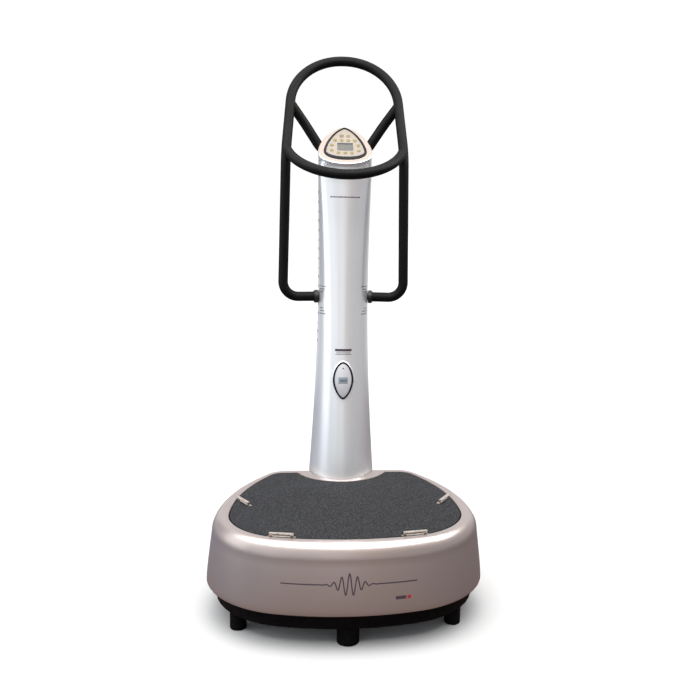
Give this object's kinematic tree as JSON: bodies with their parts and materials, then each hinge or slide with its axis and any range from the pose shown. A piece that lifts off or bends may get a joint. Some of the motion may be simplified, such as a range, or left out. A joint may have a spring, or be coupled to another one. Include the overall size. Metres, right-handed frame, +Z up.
{
  "type": "vibration plate",
  "caption": "Free-standing vibration plate: sprung standing platform with counter-rotating drive in a moulded base, column, looped handlebar and tilted key console.",
  "frame": {"origin": "on the floor under the middle of the machine, at the centre of its bounding box's bottom face", "axes": "+X to the right of the machine as the picture shows it, +Y away from the user towards the column and heel, +Z up; the user stands on the platform facing +Y"},
  "size_m": [0.73, 0.8303, 1.495],
  "materials": {
    "silver_paint": "metallic silver paint over moulded plastic, satin gloss",
    "black_tray": "black moulded plastic, satin",
    "frame_steel": "welded steel, dark powder coat",
    "zinc_steel": "zinc plated steel",
    "handle_black": "black textured powder coat on steel tube",
    "collar_black": "black moulded plastic",
    "bezel_black": "blue-black gloss plastic",
    "champagne": "champagne painted overlay",
    "repeater_face": "pale silver overlay",
    "lcd": "grey liquid crystal window",
    "board_green": "printed circuit board",
    "eye_dark": "smoked infrared window",
    "black_plastic": "black thermoplastic",
    "rocker_red": "red gloss rocker",
    "cable_pvc": "cable sheath",
    "rubber": "black rubber",
    "mat_rubber": "charcoal speckled rubber",
    "cleat_metal": "warm satin anodised metal",
    "cast_grey": "grey painted cast iron",
    "motor_cover": "cast aluminium",
    "rotor_steel": "turned steel",
    "brass_weight": "machined brass weights",
    "green_key": "green key",
    "olive_key": "olive yellow key"
  },
  "bodies": {
    "base": {"base_tray": "black_tray", "chassis_frame": "frame_steel", "base_cover": "silver_paint", "cover_screws": "zinc_steel", "mast": "frame_steel", "mast_bolts": "zinc_steel", "column_front_shell": "silver_paint", "column_rear_shell": "silver_paint", "column_screws": "zinc_steel", "handle_bracket": "frame_steel", "handlebar_collars": "collar_black", "handlebar_hoop": "handle_black", "handlebar_crossbar": "handle_black", "handlebar_struts": "handle_black", "console_housing": "silver_paint", "console_bezel": "bezel_black", "console_fascia": "champagne", "console_display": "lcd", "console_board": "board_green", "repeater_housing": "silver_paint", "repeater_bezel": "bezel_black", "repeater_fascia": "repeater_face", "repeater_display": "lcd", "repeater_eye": "eye_dark", "power_inlet": "black_plastic", "motor_controller": "motor_cover", "console_cable": "cable_pvc", "isolator_rubbers": "rubber", "foot_lock_nuts": "zinc_steel"},
    "platform": {"vibration_plate": "frame_steel", "grip_mat": "mat_rubber", "strap_cleats": "cleat_metal", "front_motor_housing": "cast_grey", "rear_motor_housing": "cast_grey", "motor_end_covers": "motor_cover", "motor_bearings": "rotor_steel", "motor_bolts": "zinc_steel"},
    "front_rotor_body": {"front_rotor": "rotor_steel", "front_eccentrics": "brass_weight"},
    "rear_rotor_body": {"rear_rotor": "rotor_steel", "rear_eccentrics": "brass_weight"},
    "rocker_body": {"power_rocker": "rocker_red"},
    "front_foot_body": {"front_foot": "rubber"},
    "left_front_foot_body": {"left_front_foot": "rubber"},
    "right_front_foot_body": {"right_front_foot": "rubber"},
    "left_rear_foot_body": {"left_rear_foot": "rubber"},
    "right_rear_foot_body": {"right_rear_foot": "rubber"},
    "start_key_body": {"start_key": "green_key"},
    "stop_key_body": {"stop_key": "olive_key"},
    "program_key_body": {"program_key": "olive_key"},
    "repeat_key_body": {"repeat_key": "olive_key"},
    "pause_key_body": {"pause_key": "olive_key"},
    "memory_key_body": {"memory_key": "olive_key"},
    "time_down_key_body": {"time_down_key": "olive_key"},
    "time_up_key_body": {"time_up_key": "olive_key"},
    "frequency_down_key_body": {"frequency_down_key": "olive_key"},
    "frequency_up_key_body": {"frequency_up_key": "olive_key"},
    "low_amplitude_key_body": {"low_amplitude_key": "olive_key"},
    "amplitude_key_body": {"amplitude_key": "olive_key"},
    "high_amplitude_key_body": {"high_amplitude_key": "olive_key"}
  },
  "joints": [
    {"name": "platform_float", "type": "slide", "parent": "base", "child": "platform", "axis": [0, 0, 1], "range_m": [-0.003, 0.003], "stiffness_N_per_m": 400000, "springref_m": 0.00104, "deforming": ["isolator_rubbers"]},
    {"name": "front_rotor_spin", "type": "hinge", "parent": "platform", "child": "front_rotor_body", "pos_m": [0, -0.19, 0.188], "axis": [1, 0, 0], "continuous": true},
    {"name": "rear_rotor_spin", "type": "hinge", "parent": "platform", "child": "rear_rotor_body", "pos_m": [0, -0.02, 0.188], "axis": [1, 0, 0], "continuous": true},
    {"name": "power_rocker_tilt", "type": "hinge", "parent": "base", "child": "rocker_body", "pos_m": [-0.016, 0.38838, 0.13719], "axis": [-1, 0, 0], "range_deg": [0, 16]},
    {"name": "front_foot_height", "type": "slide", "parent": "base", "child": "front_foot_body", "axis": [0, 0, -1], "range_m": [0, 0.006]},
    {"name": "left_front_foot_height", "type": "slide", "parent": "base", "child": "left_front_foot_body", "axis": [0, 0, -1], "range_m": [0, 0.006]},
    {"name": "right_front_foot_height", "type": "slide", "parent": "base", "child": "right_front_foot_body", "axis": [0, 0, -1], "range_m": [0, 0.006]},
    {"name": "left_rear_foot_height", "type": "slide", "parent": "base", "child": "left_rear_foot_body", "axis": [0, 0, -1], "range_m": [0, 0.006]},
    {"name": "right_rear_foot_height", "type": "slide", "parent": "base", "child": "right_rear_foot_body", "axis": [0, 0, -1], "range_m": [0, 0.006]},
    {"name": "start_key_press", "type": "slide", "parent": "base", "child": "start_key_body", "axis": [0, 0.7071, -0.7071], "range_m": [0, 0.0008], "stiffness_N_per_m": 900, "springref_m": -0.0006},
    {"name": "stop_key_press", "type": "slide", "parent": "base", "child": "stop_key_body", "axis": [0, 0.7071, -0.7071], "range_m": [0, 0.0008], "stiffness_N_per_m": 900, "springref_m": -0.0006},
    {"name": "program_key_press", "type": "slide", "parent": "base", "child": "program_key_body", "axis": [0, 0.7071, -0.7071], "range_m": [0, 0.0008], "stiffness_N_per_m": 900, "springref_m": -0.0006},
    {"name": "repeat_key_press", "type": "slide", "parent": "base", "child": "repeat_key_body", "axis": [0, 0.7071, -0.7071], "range_m": [0, 0.0008], "stiffness_N_per_m": 900, "springref_m": -0.0006},
    {"name": "pause_key_press", "type": "slide", "parent": "base", "child": "pause_key_body", "axis": [0, 0.7071, -0.7071], "range_m": [0, 0.0008], "stiffness_N_per_m": 900, "springref_m": -0.0006},
    {"name": "memory_key_press", "type": "slide", "parent": "base", "child": "memory_key_body", "axis": [0, 0.7071, -0.7071], "range_m": [0, 0.0008], "stiffness_N_per_m": 900, "springref_m": -0.0006},
    {"name": "time_down_key_press", "type": "slide", "parent": "base", "child": "time_down_key_body", "axis": [0, 0.7071, -0.7071], "range_m": [0, 0.0008], "stiffness_N_per_m": 900, "springref_m": -0.0006},
    {"name": "time_up_key_press", "type": "slide", "parent": "base", "child": "time_up_key_body", "axis": [0, 0.7071, -0.7071], "range_m": [0, 0.0008], "stiffness_N_per_m": 900, "springref_m": -0.0006},
    {"name": "frequency_down_key_press", "type": "slide", "parent": "base", "child": "frequency_down_key_body", "axis": [0, 0.7071, -0.7071], "range_m": [0, 0.0008], "stiffness_N_per_m": 900, "springref_m": -0.0006},
    {"name": "frequency_up_key_press", "type": "slide", "parent": "base", "child": "frequency_up_key_body", "axis": [0, 0.7071, -0.7071], "range_m": [0, 0.0008], "stiffness_N_per_m": 900, "springref_m": -0.0006},
    {"name": "low_amplitude_key_press", "type": "slide", "parent": "base", "child": "low_amplitude_key_body", "axis": [0, 0.7071, -0.7071], "range_m": [0, 0.0008], "stiffness_N_per_m": 900, "springref_m": -0.0006},
    {"name": "amplitude_key_press", "type": "slide", "parent": "base", "child": "amplitude_key_body", "axis": [0, 0.7071, -0.7071], "range_m": [0, 0.0008], "stiffness_N_per_m": 900, "springref_m": -0.0006},
    {"name": "high_amplitude_key_press", "type": "slide", "parent": "base", "child": "high_amplitude_key_body", "axis": [0, 0.7071, -0.7071], "range_m": [0, 0.0008], "stiffness_N_per_m": 900, "springref_m": -0.0006}
  ],
  "couplings": [
    {"joint": "rear_rotor_spin", "follows": "front_rotor_spin", "ratio": -1}
  ]
}
